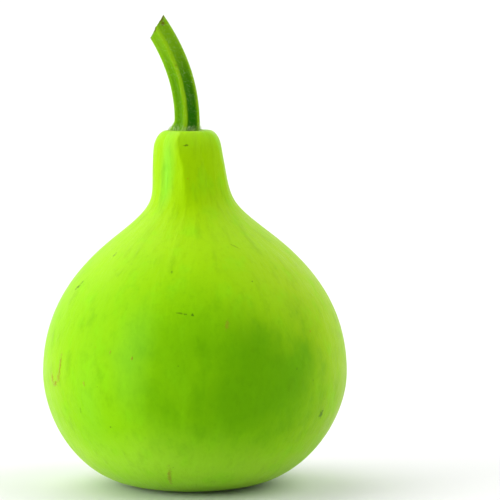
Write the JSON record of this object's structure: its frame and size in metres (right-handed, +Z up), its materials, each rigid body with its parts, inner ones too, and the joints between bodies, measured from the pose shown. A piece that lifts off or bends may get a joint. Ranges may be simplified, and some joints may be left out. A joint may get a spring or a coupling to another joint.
{
  "type": "bottle gourd",
  "caption": "Young round-bodied bottle gourd with a short five-sided neck, a flattened base that it stands on, and a short curved stem cut on a slant.",
  "frame": {"origin": "centre of the flat patch on the underside, on the surface that the gourd stands on", "axes": "+Z up from the base to the stem; -Y is the front; -X is the side that the neck and the stem lean to"},
  "size_m": [0.137, 0.137, 0.2112],
  "materials": {
    "gourd_skin": "smooth bright lime-green skin, satin, with fine lengthwise mottling and a few small scars",
    "stem_green": "fibrous green stalk with pale ridges, dark grooves and short whitish hairs"
  },
  "bodies": {
    "root": {"fruit": "gourd_skin", "stem": "stem_green"}
  },
  "joints": []
}
